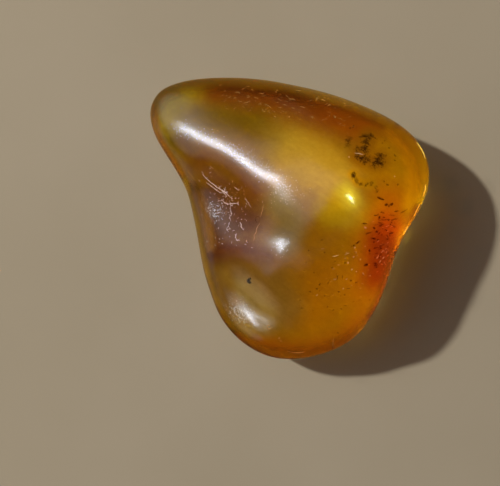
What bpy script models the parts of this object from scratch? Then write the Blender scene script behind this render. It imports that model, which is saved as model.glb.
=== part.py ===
"""Polished amber pebble, one piece, lying on its flattest side.

Frame: metres, +Z up. The origin is under the middle of the outline, on the
surface that the pebble rests on. +X runs to the wide round end, +Y runs to
the long straight edge, and the narrow nose points to -X +Y.

The plan is drawn on a drawing grid whose x runs right and y runs down the
sheet. The outline carries the height of the pebble's widest line. The top
skin is one smooth field fitted to surveyed heights and slopes: a crest that
falls to the nose, a hollow beside it, a summit right of the middle and a
low lobe at the -Y end. The underside is a shallow bowl with a small flat.
"""
import math

import bmesh
import bpy
import numpy as np

# ---------------------------------------------------------------- dimensions
GRID = 16.6                    # drawing units to the millimetre
SHEET_MIDDLE = (289.0, 218.5)  # middle of the outline on the drawing grid
HUB = (300.0, 216.0)           # the point that the meridians run out from
TOP_ROUNDING = 3.0             # power of the rounding from the rim to the top
BOTTOM_ROUNDING = 2.3          # power of the rounding from the flat to the rim
FLAT_SHARE = 0.30              # the flat's size as a share of the outline
FIELD_PITCH = 22.0             # spacing of the bumps that make up the top field
FIELD_WIDTH = 34.0             # width of each of those bumps
FIELD_STIFFNESS = 0.4          # how strongly the top field resists bending
BEAD = (281.0, 249.0, 10.0, 0.04)  # a small round rise on the field: x, y, width, height in mm
MERIDIANS = 96
TOP_RINGS = 26
BOTTOM_RINGS = 12

# The widest line, clockwise from the nose: x, y on the grid, height in mm.
RIM = [
    (149.7, 117.0, 2.7), (151.8, 102.0, 2.8), (160.0, 90.5, 2.9), (172.0, 84.2, 3.0),
    (187.0, 80.0, 3.0), (205.0, 77.8, 3.1), (225.0, 77.2, 3.2), (245.0, 77.8, 3.3),
    (268.0, 80.2, 3.4), (290.0, 84.4, 3.5), (312.0, 89.2, 3.6), (334.0, 95.3, 3.7),
    (356.0, 103.3, 3.8), (376.0, 112.0, 3.9), (393.0, 121.0, 3.95), (408.0, 132.0, 4.0),
    (419.0, 144.5, 4.05), (425.8, 157.0, 4.1), (428.4, 171.0, 4.1), (427.8, 185.0, 4.1),
    (424.0, 198.0, 4.05), (418.0, 211.0, 3.95), (410.0, 225.0, 3.85), (402.0, 239.0, 3.75),
    (396.0, 253.0, 3.6), (391.3, 268.0, 3.5), (386.5, 284.0, 3.35), (380.5, 300.0, 3.25),
    (372.5, 315.0, 3.15), (361.5, 331.0, 3.0), (347.0, 343.5, 2.9), (330.0, 351.8, 2.85),
    (311.0, 357.4, 2.8), (292.0, 359.8, 2.75), (275.0, 358.4, 2.75), (259.0, 353.0, 2.75),
    (243.0, 343.0, 2.8), (229.0, 329.5, 2.85), (218.0, 312.5, 2.9), (210.5, 293.0, 2.95),
    (204.5, 274.0, 3.0), (200.5, 255.0, 3.0), (197.0, 235.0, 3.0), (193.0, 215.0, 2.95),
    (187.0, 191.5, 2.9), (177.0, 172.0, 2.85), (165.0, 153.0, 2.8), (155.0, 135.5, 2.75),
]

# Heights of the top skin: x, y on the grid, height in mm, weight.
HEIGHTS = [
    # summit and the spine that runs down to the lobe
    (322, 210, 8.2, 2), (345, 235, 8.05, 1), (350, 180, 7.9, 1),
    (303, 272, 7.7, 1), (292, 302, 7.1, 1), (281, 330, 6.1, 1), (266, 343, 4.8, 2),
    # wide end and the flank below it
    (392, 180, 7.0, 1), (410, 175, 6.2, 1), (385, 235, 6.8, 1),
    (360, 280, 7.0, 1), (340, 320, 6.2, 1), (310, 335, 5.7, 1),
    # flank towards the long edge
    (310, 150, 7.2, 1), (350, 128, 6.4, 1), (300, 105, 5.6, 1),
    (250, 98, 4.9, 1), (205, 98, 4.5, 1),
    # nose
    (175, 98, 4.1, 1), (166, 120, 4.4, 1),
    # hollow beside the crest, and the shoulder of the lobe
    (205, 152, 5.2, 1), (235, 185, 6.0, 1), (212, 178, 5.1, 1), (215, 205, 5.0, 1),
    (240, 215, 6.1, 1), (215, 235, 5.2, 1), (235, 262, 6.1, 1), (225, 285, 5.5, 1),
    (250, 285, 6.45, 1), (248, 312, 5.85, 1),
]

# Slopes of the top skin: x, y, rise to the right, rise down the sheet, weight.
SLOPES = [
    # summit and spine
    (322, 210, 0.00, 0.00, 2), (303, 265, 0.05, -0.10, 1), (330, 240, -0.06, -0.08, 1),
    (318, 270, -0.08, -0.25, 2), (310, 300, -0.04, -0.38, 2),
    # the crest falls evenly to the nose
    (180, 128, 0.373, 0.172, 2), (192, 132, 0.373, 0.172, 3), (206, 139, 0.373, 0.172, 3),
    (220, 146.5, 0.373, 0.172, 3), (234, 154.5, 0.373, 0.172, 3), (248, 164, 0.373, 0.172, 3),
    (260, 173, 0.373, 0.172, 3), (270, 179.5, 0.373, 0.172, 2),
    # and flattens out into the summit
    (278, 186, 0.33, 0.12, 3), (284, 191, 0.30, 0.10, 3), (292, 198, 0.26, 0.05, 3), (296, 186, 0.22, 0.18, 3),
    # shoulder on the crest's far side
    (208, 127, 0.30, 0.32, 2), (224, 134, 0.31, 0.31, 2), (246, 148, 0.30, 0.31, 2), (268, 160, 0.29, 0.32, 3),
    (283, 174, 0.26, 0.31, 3), (301, 200, 0.20, 0.12, 3),
    # far side
    (225, 118, 0.22, 0.55, 1), (250, 135, 0.25, 0.48, 2), (262, 130, 0.18, 0.58, 1),
    (275, 152, 0.25, 0.42, 2), (285, 145, 0.18, 0.54, 2), (310, 160, 0.12, 0.42, 1),
    (312, 180, 0.15, 0.26, 2), (290, 125, 0.10, 0.66, 2), (320, 140, 0.02, 0.52, 1),
    # nose
    (180, 114, 0.42, 0.34, 2), (174, 124, 0.54, 0.20, 2), (184, 140, 0.50, 0.00, 2),
    (170, 136, 0.60, 0.05, 1), (165, 112, 0.56, 0.32, 1),
    # the crest's near side
    (215, 163, 0.50, -0.22, 1), (240, 186, 0.60, -0.18, 1), (215, 190, 0.60, 0.00, 1),
    (236, 167, 0.47, 0.00, 2), (253, 181, 0.48, -0.04, 3), (267, 195, 0.48, -0.06, 3),
    (281, 207, 0.46, -0.04, 2), (284, 218, 0.48, -0.06, 2),
    # hollow
    (217, 212, 0.56, 0.20, 2), (232, 226, 0.66, 0.10, 2), (242, 222, 0.68, 0.10, 2),
    (256, 232, 0.62, 0.10, 3), (262, 254, 0.52, 0.02, 3), (232, 250, 0.62, -0.22, 1),
    # swelling between the hollow and the summit
    (281, 249, 0.373, 0.172, 6), (281, 239, 0.44, 0.04, 3), (281, 262, 0.31, -0.08, 3),
    (281, 245, 0.40, 0.12, 2), (281, 255, 0.34, 0.10, 2), (294, 250, 0.14, 0.04, 3), (268, 250, 0.54, 0.12, 3),
    (268, 274, 0.38, -0.14, 2), (285, 272, 0.28, -0.16, 2), (284, 288, 0.22, -0.26, 2),
    (264, 290, 0.38, -0.18, 1),
    # lobe
    (236, 292, 0.46, -0.12, 1), (242, 305, 0.373, 0.172, 3), (247, 312, 0.373, 0.172, 4),
    (253, 320, 0.373, 0.172, 5), (259, 328, 0.373, 0.172, 3),
    (256, 308, 0.32, 0.08, 2), (264, 318, 0.28, 0.05, 3), (272, 328, 0.20, -0.04, 2),
]

AMBER = (0.42, 0.16, 0.012, 1.0)


# ------------------------------------------------------------------- outline
def rim_curve(count):
    """The widest line as `count` points at even spacing: x, y, height in mm."""
    pts = np.array(RIM)
    n = len(pts)
    fine = []
    for i in range(n):
        p0, p1, p2, p3 = pts[i - 1], pts[i], pts[(i + 1) % n], pts[(i + 2) % n]
        for k in range(24):
            t = k / 24.0
            fine.append(0.5 * (2 * p1 + (p2 - p0) * t + (2 * p0 - 5 * p1 + 4 * p2 - p3) * t * t
                               + (3 * p1 - p0 - 3 * p2 + p3) * t ** 3))
    fine = np.array(fine)
    for _ in range(60):                      # evens out the joins between spans
        fine = 0.5 * fine + 0.25 * (np.roll(fine, 1, 0) + np.roll(fine, -1, 0))
    step = np.roll(fine, -1, 0) - fine
    run = np.concatenate([[0.0], np.cumsum(np.hypot(step[:, 0], step[:, 1]))])
    fine = np.vstack([fine, fine[:1]])
    at = np.linspace(0.0, run[-1], count, endpoint=False)
    return np.stack([np.interp(at, run, fine[:, k]) for k in range(3)], 1)


# ------------------------------------------------------------------ top skin
class TopSkin:
    """A smooth field through the surveyed heights and slopes, rounded at the rim."""

    def __init__(self):
        rim = rim_curve(720)
        d = rim[:, :2] - np.array(HUB)
        angle = np.arctan2(d[:, 1], d[:, 0])
        order = np.argsort(angle)
        self.angle = angle[order]
        self.reach = np.hypot(d[:, 0], d[:, 1])[order]
        self.rise = rim[order, 2]
        self.bumps = np.array([(x, y) for x in np.arange(130.0, 460.0, FIELD_PITCH)
                               for y in np.arange(60.0, 390.0, FIELD_PITCH)])
        self.solve()

    def basis(self, x, y):
        r2 = ((self.bumps - (x, y)) ** 2).sum(1) / FIELD_WIDTH ** 2
        return np.concatenate([np.exp(-r2), [1.0, (x - 300.0) / 100.0, (y - 216.0) / 100.0]])

    def polar(self, x, y):
        """Share of the way from the hub to the rim, and the rim's height there."""
        dx, dy = x - HUB[0], y - HUB[1]
        a = np.arctan2(dy, dx)
        full = 2.0 * math.pi
        return (np.hypot(dx, dy) / np.interp(a, self.angle, self.reach, period=full),
                np.interp(a, self.angle, self.rise, period=full))

    def bead(self, x, y):
        bx, by, width, height = BEAD
        return height * math.exp(-((x - bx) ** 2 + (y - by) ** 2) / width ** 2)

    def row(self, x, y):
        s, h = self.polar(x, y)
        w = math.sqrt(1.0 - min(s, 0.9999) ** TOP_ROUNDING)
        return w * self.basis(x, y), h * (1.0 - w) + w * self.bead(x, y)

    def solve(self):
        rows, goal = [], []
        for x, y, z, weight in HEIGHTS:
            r, k = self.row(x, y)
            rows.append(weight * r)
            goal.append(weight * (z - k))
        for x, y, right, down, weight in SLOPES:
            weight *= 1.5
            for ex, ey, rise in ((1.0, 0.0, right), (0.0, 1.0, down)):
                r1, k1 = self.row(x + ex, y + ey)
                r0, k0 = self.row(x - ex, y - ey)
                rows.append(weight * (r1 - r0) / 2.0 * GRID)
                goal.append(weight * (rise - (k1 - k0) / 2.0 * GRID))
        g, lam = 10.0, FIELD_STIFFNESS
        for x in range(140, 445, 20):
            for y in range(70, 375, 20):
                mid = self.basis(x, y)
                rows.append(lam * (self.basis(x + g, y) - 2 * mid + self.basis(x - g, y)))
                rows.append(lam * (self.basis(x, y + g) - 2 * mid + self.basis(x, y - g)))
                rows.append(lam * 0.3535 * (self.basis(x + g, y + g) - self.basis(x - g, y + g)
                                            - self.basis(x + g, y - g) + self.basis(x - g, y - g)))
                goal += [0.0, 0.0, 0.0]
        a = np.array(rows)
        self.weights = np.linalg.solve(a.T @ a + 1e-9 * np.eye(a.shape[1]), a.T @ np.array(goal))

    def field(self, x, y):
        return float(self.basis(x, y) @ self.weights) + self.bead(x, y)


# --------------------------------------------------------------------- solid
def place(x, y, z_mm):
    """Drawing grid and height in mm to metres in the pebble's own frame."""
    return ((x - SHEET_MIDDLE[0]) / GRID / 1000.0, (SHEET_MIDDLE[1] - y) / GRID / 1000.0, z_mm / 1000.0)


def pebble_mesh(name):
    skin = TopSkin()
    rim = rim_curve(MERIDIANS)
    hub = np.array(HUB)

    def meridians(ring_size):
        return rim[::MERIDIANS // ring_size]

    levels = []                              # rings from the top pole to the flat
    for i in range(1, TOP_RINGS + 1):
        share = math.sin(0.5 * math.pi * i / TOP_RINGS)
        w = math.sqrt(max(0.0, 1.0 - share ** TOP_ROUNDING))
        ring = []
        thinning = 8 if i == 1 else 4 if i <= 3 else 2 if i <= 6 else 1
        for x, y, rise in meridians(MERIDIANS // thinning):
            px, py = hub + share * (np.array((x, y)) - hub)
            ring.append((px, py, rise + (skin.field(px, py) - rise) * w))
        levels.append(ring)
    for i in range(BOTTOM_RINGS - 1, -1, -1):
        turn = math.sin(0.5 * math.pi * i / BOTTOM_RINGS)
        share = FLAT_SHARE + (1.0 - FLAT_SHARE) * turn
        drop = math.sqrt(max(0.0, 1.0 - turn ** BOTTOM_ROUNDING))
        ring = []
        for x, y, rise in rim:
            px, py = hub + share * (np.array((x, y)) - hub)
            ring.append((px, py, 0.0 if i == 0 else rise * (1.0 - drop)))
        levels.append(ring)
    for share, ring_size in ((0.66, MERIDIANS // 2), (0.33, MERIDIANS // 4)):
        levels.append([(*(hub + share * FLAT_SHARE * (np.array((x, y)) - hub)), 0.0)
                       for x, y, _ in meridians(ring_size)])

    bm = bmesh.new()
    rings = [[bm.verts.new(place(*p)) for p in ring] for ring in levels]
    crown = bm.verts.new(place(HUB[0], HUB[1], skin.field(*HUB)))
    sole = bm.verts.new(place(HUB[0], HUB[1], 0.0))
    for pole, ring in ((crown, rings[0]), (sole, rings[-1])):
        for i, v in enumerate(ring):
            bm.faces.new((pole, ring[i - 1], v))
    for one, other in zip(rings, rings[1:]):
        few, many = sorted((one, other), key=len)
        for i, v in enumerate(few):
            w = few[i - 1]
            if len(few) == len(many):
                bm.faces.new((w, v, many[i], many[i - 1]))
            else:                            # twice as many on the wider ring
                a, mid, b = many[2 * i - 2], many[2 * i - 1], many[2 * i]
                bm.faces.new((w, a, mid))
                bm.faces.new((w, mid, v))
                bm.faces.new((v, mid, b))
    bmesh.ops.triangulate(bm, faces=[f for f in bm.faces if len(f.verts) > 3], quad_method="SHORT_EDGE")
    bmesh.ops.recalc_face_normals(bm, faces=bm.faces)

    # The frame's origin sits under the middle of the finished outline.
    xs = [v.co.x for v in bm.verts]
    ys = [v.co.y for v in bm.verts]
    bmesh.ops.translate(bm, verts=bm.verts, vec=(-(min(xs) + max(xs)) / 2, -(min(ys) + max(ys)) / 2, 0.0))

    mesh = bpy.data.meshes.new(name)
    bm.to_mesh(mesh)
    bm.free()
    mesh.shade_smooth()
    return mesh


def amber_material():
    mat = bpy.data.materials.new("amber")
    mat.use_nodes = True
    shader = mat.node_tree.nodes["Principled BSDF"]
    shader.inputs["Base Color"].default_value = AMBER
    shader.inputs["Roughness"].default_value = 0.12
    shader.inputs["Metallic"].default_value = 0.0
    shader.inputs["IOR"].default_value = 1.54
    mat.diffuse_color = AMBER
    return mat


def main():
    for ob in list(bpy.data.objects):
        bpy.data.objects.remove(ob, do_unlink=True)
    ob = bpy.data.objects.new("amber", pebble_mesh("amber"))
    ob.data.materials.append(amber_material())
    bpy.context.scene.collection.objects.link(ob)


main()
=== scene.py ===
"""The looks of the amber pebble: its clear, stained and crazed resin, and everything sealed in it.

Lengths in this file are millimetres until they reach Blender. Places on the
pebble are given on the same drawing grid as the construction (x right, y down
the sheet, 16.6 units to the millimetre), as they are seen from above.
"""

import math
import random

import bmesh
import bpy
import numpy as np
from mathutils import Matrix, Vector, noise


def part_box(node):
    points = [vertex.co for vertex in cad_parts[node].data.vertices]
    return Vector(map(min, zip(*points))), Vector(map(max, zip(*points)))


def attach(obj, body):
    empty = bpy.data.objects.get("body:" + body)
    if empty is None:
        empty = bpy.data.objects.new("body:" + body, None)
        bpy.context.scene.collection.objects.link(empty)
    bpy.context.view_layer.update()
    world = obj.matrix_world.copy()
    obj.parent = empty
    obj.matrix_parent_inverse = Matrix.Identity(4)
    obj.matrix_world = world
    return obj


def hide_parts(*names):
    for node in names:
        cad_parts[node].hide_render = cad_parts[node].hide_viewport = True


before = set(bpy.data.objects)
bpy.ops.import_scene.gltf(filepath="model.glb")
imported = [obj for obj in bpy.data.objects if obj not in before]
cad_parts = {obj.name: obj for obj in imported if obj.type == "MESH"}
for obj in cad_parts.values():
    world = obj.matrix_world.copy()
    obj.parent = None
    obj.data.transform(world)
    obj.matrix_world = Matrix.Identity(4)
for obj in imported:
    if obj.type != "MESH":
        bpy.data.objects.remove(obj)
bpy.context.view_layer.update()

# ---------------------------------------------------------------- dimensions
GRID = 16.6
SHEET_MIDDLE = np.array((289.0, 218.5))
HUB = np.array((300.0, 216.0))
TOP_ROUNDING = 3.0
BOTTOM_ROUNDING = 2.3
FLAT_SHARE = 0.30
FIELD_PITCH = 22.0
FIELD_WIDTH = 34.0
FIELD_STIFFNESS = 0.4
BEAD = (281.0, 249.0, 10.0, 0.04)
MERIDIANS = 288
IOR = 1.54
EYE_HEIGHT = 150.0                      # camera above the floor
EYE_PLANE = 3.4                         # height at which the drawing grid is seen true
EYE_GRID = np.array((250.0, 243.0))     # grid point straight under the camera

RIM = [
    (149.7, 117.0, 2.7), (151.8, 102.0, 2.8), (160.0, 90.5, 2.9), (172.0, 84.2, 3.0),
    (187.0, 80.0, 3.0), (205.0, 77.8, 3.1), (225.0, 77.2, 3.2), (245.0, 77.8, 3.3),
    (268.0, 80.2, 3.4), (290.0, 84.4, 3.5), (312.0, 89.2, 3.6), (334.0, 95.3, 3.7),
    (356.0, 103.3, 3.8), (376.0, 112.0, 3.9), (393.0, 121.0, 3.95), (408.0, 132.0, 4.0),
    (419.0, 144.5, 4.05), (425.8, 157.0, 4.1), (428.4, 171.0, 4.1), (427.8, 185.0, 4.1),
    (424.0, 198.0, 4.05), (418.0, 211.0, 3.95), (410.0, 225.0, 3.85), (402.0, 239.0, 3.75),
    (396.0, 253.0, 3.6), (391.3, 268.0, 3.5), (386.5, 284.0, 3.35), (380.5, 300.0, 3.25),
    (372.5, 315.0, 3.15), (361.5, 331.0, 3.0), (347.0, 343.5, 2.9), (330.0, 351.8, 2.85),
    (311.0, 357.4, 2.8), (292.0, 359.8, 2.75), (275.0, 358.4, 2.75), (259.0, 353.0, 2.75),
    (243.0, 343.0, 2.8), (229.0, 329.5, 2.85), (218.0, 312.5, 2.9), (210.5, 293.0, 2.95),
    (204.5, 274.0, 3.0), (200.5, 255.0, 3.0), (197.0, 235.0, 3.0), (193.0, 215.0, 2.95),
    (187.0, 191.5, 2.9), (177.0, 172.0, 2.85), (165.0, 153.0, 2.8), (155.0, 135.5, 2.75),
]
HEIGHTS = [
    # summit and the spine that runs down to the lobe
    (322, 210, 8.2, 2), (345, 235, 8.05, 1), (350, 180, 7.9, 1),
    (303, 272, 7.7, 1), (292, 302, 7.1, 1), (281, 330, 6.1, 1), (266, 343, 4.8, 2),
    # wide end and the flank below it
    (392, 180, 7.0, 1), (410, 175, 6.2, 1), (385, 235, 6.8, 1),
    (360, 280, 7.0, 1), (340, 320, 6.2, 1), (310, 335, 5.7, 1),
    # flank towards the long edge
    (310, 150, 7.2, 1), (350, 128, 6.4, 1), (300, 105, 5.6, 1),
    (250, 98, 4.9, 1), (205, 98, 4.5, 1),
    # nose
    (175, 98, 4.1, 1), (166, 120, 4.4, 1),
    # hollow beside the crest, and the shoulder of the lobe
    (205, 152, 5.2, 1), (235, 185, 6.0, 1), (212, 178, 5.1, 1), (215, 205, 5.0, 1),
    (240, 215, 6.1, 1), (215, 235, 5.2, 1), (235, 262, 6.1, 1), (225, 285, 5.5, 1),
    (250, 285, 6.45, 1), (248, 312, 5.85, 1),
]
SLOPES = [
    # summit and spine
    (322, 210, 0.00, 0.00, 2), (303, 265, 0.05, -0.10, 1), (330, 240, -0.06, -0.08, 1),
    (318, 270, -0.08, -0.25, 2), (310, 300, -0.04, -0.38, 2),
    # the crest falls evenly to the nose
    (180, 128, 0.373, 0.172, 2), (192, 132, 0.373, 0.172, 3), (206, 139, 0.373, 0.172, 3),
    (220, 146.5, 0.373, 0.172, 3), (234, 154.5, 0.373, 0.172, 3), (248, 164, 0.373, 0.172, 3),
    (260, 173, 0.373, 0.172, 3), (270, 179.5, 0.373, 0.172, 2),
    # and flattens out into the summit
    (278, 186, 0.33, 0.12, 3), (284, 191, 0.30, 0.10, 3), (292, 198, 0.26, 0.05, 3), (296, 186, 0.22, 0.18, 3),
    # shoulder on the crest's far side
    (208, 127, 0.30, 0.32, 2), (224, 134, 0.31, 0.31, 2), (246, 148, 0.30, 0.31, 2), (268, 160, 0.29, 0.32, 3),
    (283, 174, 0.26, 0.31, 3), (301, 200, 0.20, 0.12, 3),
    # far side
    (225, 118, 0.22, 0.55, 1), (250, 135, 0.25, 0.48, 2), (262, 130, 0.18, 0.58, 1),
    (275, 152, 0.25, 0.42, 2), (285, 145, 0.18, 0.54, 2), (310, 160, 0.12, 0.42, 1),
    (312, 180, 0.15, 0.26, 2), (290, 125, 0.10, 0.66, 2), (320, 140, 0.02, 0.52, 1),
    # nose
    (180, 114, 0.42, 0.34, 2), (174, 124, 0.54, 0.20, 2), (184, 140, 0.50, 0.00, 2),
    (170, 136, 0.60, 0.05, 1), (165, 112, 0.56, 0.32, 1),
    # the crest's near side
    (215, 163, 0.50, -0.22, 1), (240, 186, 0.60, -0.18, 1), (215, 190, 0.60, 0.00, 1),
    (236, 167, 0.47, 0.00, 2), (253, 181, 0.48, -0.04, 3), (267, 195, 0.48, -0.06, 3),
    (281, 207, 0.46, -0.04, 2), (284, 218, 0.48, -0.06, 2),
    # hollow
    (217, 212, 0.56, 0.20, 2), (232, 226, 0.66, 0.10, 2), (242, 222, 0.68, 0.10, 2),
    (256, 232, 0.62, 0.10, 3), (262, 254, 0.52, 0.02, 3), (232, 250, 0.62, -0.22, 1),
    # swelling between the hollow and the summit
    (281, 249, 0.373, 0.172, 6), (281, 239, 0.44, 0.04, 3), (281, 262, 0.31, -0.08, 3),
    (281, 245, 0.40, 0.12, 2), (281, 255, 0.34, 0.10, 2), (294, 250, 0.14, 0.04, 3), (268, 250, 0.54, 0.12, 3),
    (268, 274, 0.38, -0.14, 2), (285, 272, 0.28, -0.16, 2), (284, 288, 0.22, -0.26, 2),
    (264, 290, 0.38, -0.18, 1),
    # lobe
    (236, 292, 0.46, -0.12, 1), (242, 305, 0.373, 0.172, 3), (247, 312, 0.373, 0.172, 4),
    (253, 320, 0.373, 0.172, 5), (259, 328, 0.373, 0.172, 3),
    (256, 308, 0.32, 0.08, 2), (264, 318, 0.28, 0.05, 3), (272, 328, 0.20, -0.04, 2),
]


# Zones of the resin as seen from above: a soft brush stroke (x, y, radius), how soft its
# edge is, and the tint of the light that comes through, over the zones before it. Most are
# the resin's own colour; the ones marked below are painted light: glows, sheens and a glowing rim.
ZONES = [
    ("nose", [(162, 98, 10), (166, 124, 8)], 40, (0.32, 0.29, 0.021)),
    ("nose_tip", [(184, 88, 3), (166, 94, 5), (159, 118, 4)], 24, (1.0, 1.0, 0.1)),
    ("nose_olive", [(198, 90, 4), (214, 94, 4)], 32, (1.0, 1.0, 0.08)),
    ("band", [(218, 96, 3), (246, 96, 6), (300, 102, 8), (348, 116, 5)], 32, (0.44, 0.16, 0.003)),
    ("band_end", [(362, 120, 3), (388, 142, 4)], 28, (0.49, 0.20, 0.003)),
    ("band_dark", [(240, 95, 2), (280, 97, 4), (306, 102, 3)], 26, (0.38, 0.14, 0.003)),
    ("olive", [(200, 117, 2), (230, 122, 3), (257, 124, 2)], 28, (0.29, 0.25, 0.007)),
    # partly the resin's clearer gold, partly painted glow of sunlight gathered inside
    ("gold_caustic_glow", [(285, 150, 6), (312, 168, 8), (335, 182, 5)], 46, (0.39, 0.39, 0.24)),
    ("bulge", [(385, 156, 8), (402, 176, 10), (402, 195, 6)], 34, (0.56, 0.41, 0.003)),
    ("low_right", [(318, 320, 5), (335, 288, 10), (358, 302, 8)], 40, (0.48, 0.29, 0.003)),
    # painted glow: light gold below the glint
    ("gold_glint_glow", [(328, 212, 3), (345, 212, 4), (362, 216, 3)], 22, (0.55, 0.58, 0.10)),
    # painted sheen: grey reflection where the crest runs into the summit
    ("ridge_sheen", [(276, 200, 3), (292, 220, 5), (284, 242, 3)], 22, (0.32, 0.345, 0.25)),
    # painted sheen: pale reflection around the lobe's highlight
    ("lobe_sheen", [(238, 298, 4), (247, 322, 4)], 18, (0.67, 0.64, 0.45)),
    # painted halo: paler, greyer tint around the glint
    ("glint_halo", [(346, 192, 2), (354, 203, 2)], 14, (0.47, 0.58, 0.30)),
    ("stain_halo", [(392, 206, 2), (384, 235, 6), (380, 262, 5), (372, 290, 1)], 36, (0.53, 0.23, 0.003)),
    ("stain", [(387, 230, 3), (383, 244, 5), (381, 258, 4), (378, 276, 1)], 26, (0.36, 0.06, 0.003)),
    ("foot", [(262, 348, 1), (305, 355, 2), (340, 347, 2), (366, 322, 1)], 22, (0.54, 0.23, 0.003)),
    ("crease", [(202, 162, 3), (226, 176, 5), (250, 192, 3)], 26, (0.26, 0.14, 0.015)),
    ("crease_top", [(213, 161, 1), (224, 169, 2), (234, 178, 1)], 9, (0.30, 0.19, 0.012)),
    ("nose_under", [(183, 141, 1), (193, 149, 1)], 11, (0.24, 0.155, 0.005)),
    ("hollow", [(212, 202, 6), (226, 220, 10), (246, 222, 4)], 26, (0.20, 0.09, 0.010)),
    ("hollow_foot", [(214, 252, 3), (245, 253, 3), (266, 260, 1)], 20, (0.21, 0.07, 0.006)),
    # painted sheen: grey reflection over the slope down to the lobe
    ("low_left_sheen", [(238, 282, 5), (266, 286, 8), (280, 308, 3)], 36, (0.30, 0.25, 0.22)),
    # painted sheen: grey, bluish tint between the lobe's highlight and the swelling
    ("lobe_mid_sheen", [(243, 291, 3), (252, 301, 4), (262, 312, 4), (262, 322, 2)], 20, (0.45, 0.47, 0.80)),
    ("debris_haze", [(368, 137, 2), (365, 149, 3), (358, 156, 2), (368, 160, 2), (379, 160, 4)], 12, (0.41, 0.26, 0.003)),
    ("debris_haze_low", [(353, 174, 1), (358, 182, 1), (372, 184, 1)], 7, (0.49, 0.37, 0.003)),
    # painted glow: the wide end's rim, away from the lamp, lighter where the light comes out
    ("bulge_rim_glow", [(394, 131, 1), (408, 146, 2), (416, 166, 3), (417, 186, 3), (411, 204, 1)], 13, (0.77, 0.49, 0.003)),
    ("bulge_edge_glow", [(403, 129, 1), (420, 147, 1), (427, 170, 1), (426, 188, 1), (420, 205, 1)], 7, (1.00, 0.71, 0.003)),
    ("notch_edge", [(418, 208, 1), (410, 224, 1), (402, 240, 1)], 7, (0.42, 0.17, 0.003)),
    ("low_edge", [(396, 254, 1), (390, 274, 1), (382, 298, 1), (370, 320, 1)], 8, (0.22, 0.06, 0.003)),
    ("foot_edge", [(238, 337, 1), (252, 347, 1), (272, 356, 1), (300, 360, 1), (326, 357, 1), (346, 349, 1)], 7, (0.95, 0.50, 0.003)),
    ("nose_edge", [(149, 122, 1), (150, 104, 1), (158, 88, 1), (176, 79, 1)], 12, (1.00, 1.00, 0.40)),
    ("long_edge", [(186, 79, 1), (225, 77, 1), (290, 84, 1), (356, 103, 1), (392, 120, 1)], 10, (0.9, 0.7, 0.012)),
    ("nose_rim", [(150, 112, 1), (153, 132, 2), (165, 154, 2), (178, 174, 1)], 7, (0.69, 0.36, 0.045)),
    ("nose_rim_top", [(151, 106, 1), (153, 118, 2), (156, 128, 1)], 6, (1.00, 0.80, 0.10)),
    # painted sheen: greyer tint along the left side of the hollow and the lobe
    ("hollow_side_sheen", [(198, 196, 2), (205, 224, 3), (209, 246, 2)], 8, (0.56, 0.38, 0.30)),
    ("lobe_side_sheen", [(221, 278, 2), (229, 302, 3)], 14, (0.48, 0.40, 0.26)),
    ("left_rim", [(183, 184, 1), (193, 215, 1), (200, 255, 1), (210, 294, 1), (228, 329, 1)], 7, (1.00, 0.83, 0.006)),
]
RESIN = (0.41, 0.30, 0.003)

# Sunlight gathered by the pebble on what it lies on, as seen from above:
# place, reach (mm, mm, degrees of turn), colour.
UNDER = (2.20, 2.10, 1.05)
GLOWS = [
    ((304, 162), (3.6, 2.4, -30), (5.40, 5.30, 2.80)),
    ((338, 190), (2.4, 1.2, -38), (6.20, 6.20, 3.40)),
    ((351, 198), (0.9, 0.6, -60), (7.5, 8.2, 6.2)),
]
CAUSTICS = [
    ((410, 236), (0.8, 0.35, 62), (0.40, 0.27, 0.02)),
]
LAMP = (-0.908, 0.419, 1.0)             # towards the lamp
GLINT = (351, 198)


# ===================================================================== shape
def rim_curve(count):
    """The widest line as `count` points at even spacing: x, y, height in mm."""
    pts = np.array(RIM)
    n = len(pts)
    fine = []
    for i in range(n):
        p0, p1, p2, p3 = pts[i - 1], pts[i], pts[(i + 1) % n], pts[(i + 2) % n]
        for k in range(24):
            t = k / 24.0
            fine.append(0.5 * (2 * p1 + (p2 - p0) * t + (2 * p0 - 5 * p1 + 4 * p2 - p3) * t * t
                               + (3 * p1 - p0 - 3 * p2 + p3) * t ** 3))
    fine = np.array(fine)
    for _ in range(60):
        fine = 0.5 * fine + 0.25 * (np.roll(fine, 1, 0) + np.roll(fine, -1, 0))
    step = np.roll(fine, -1, 0) - fine
    run = np.concatenate([[0.0], np.cumsum(np.hypot(step[:, 0], step[:, 1]))])
    fine = np.vstack([fine, fine[:1]])
    at = np.linspace(0.0, run[-1], count, endpoint=False)
    return np.stack([np.interp(at, run, fine[:, k]) for k in range(3)], 1)


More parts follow.
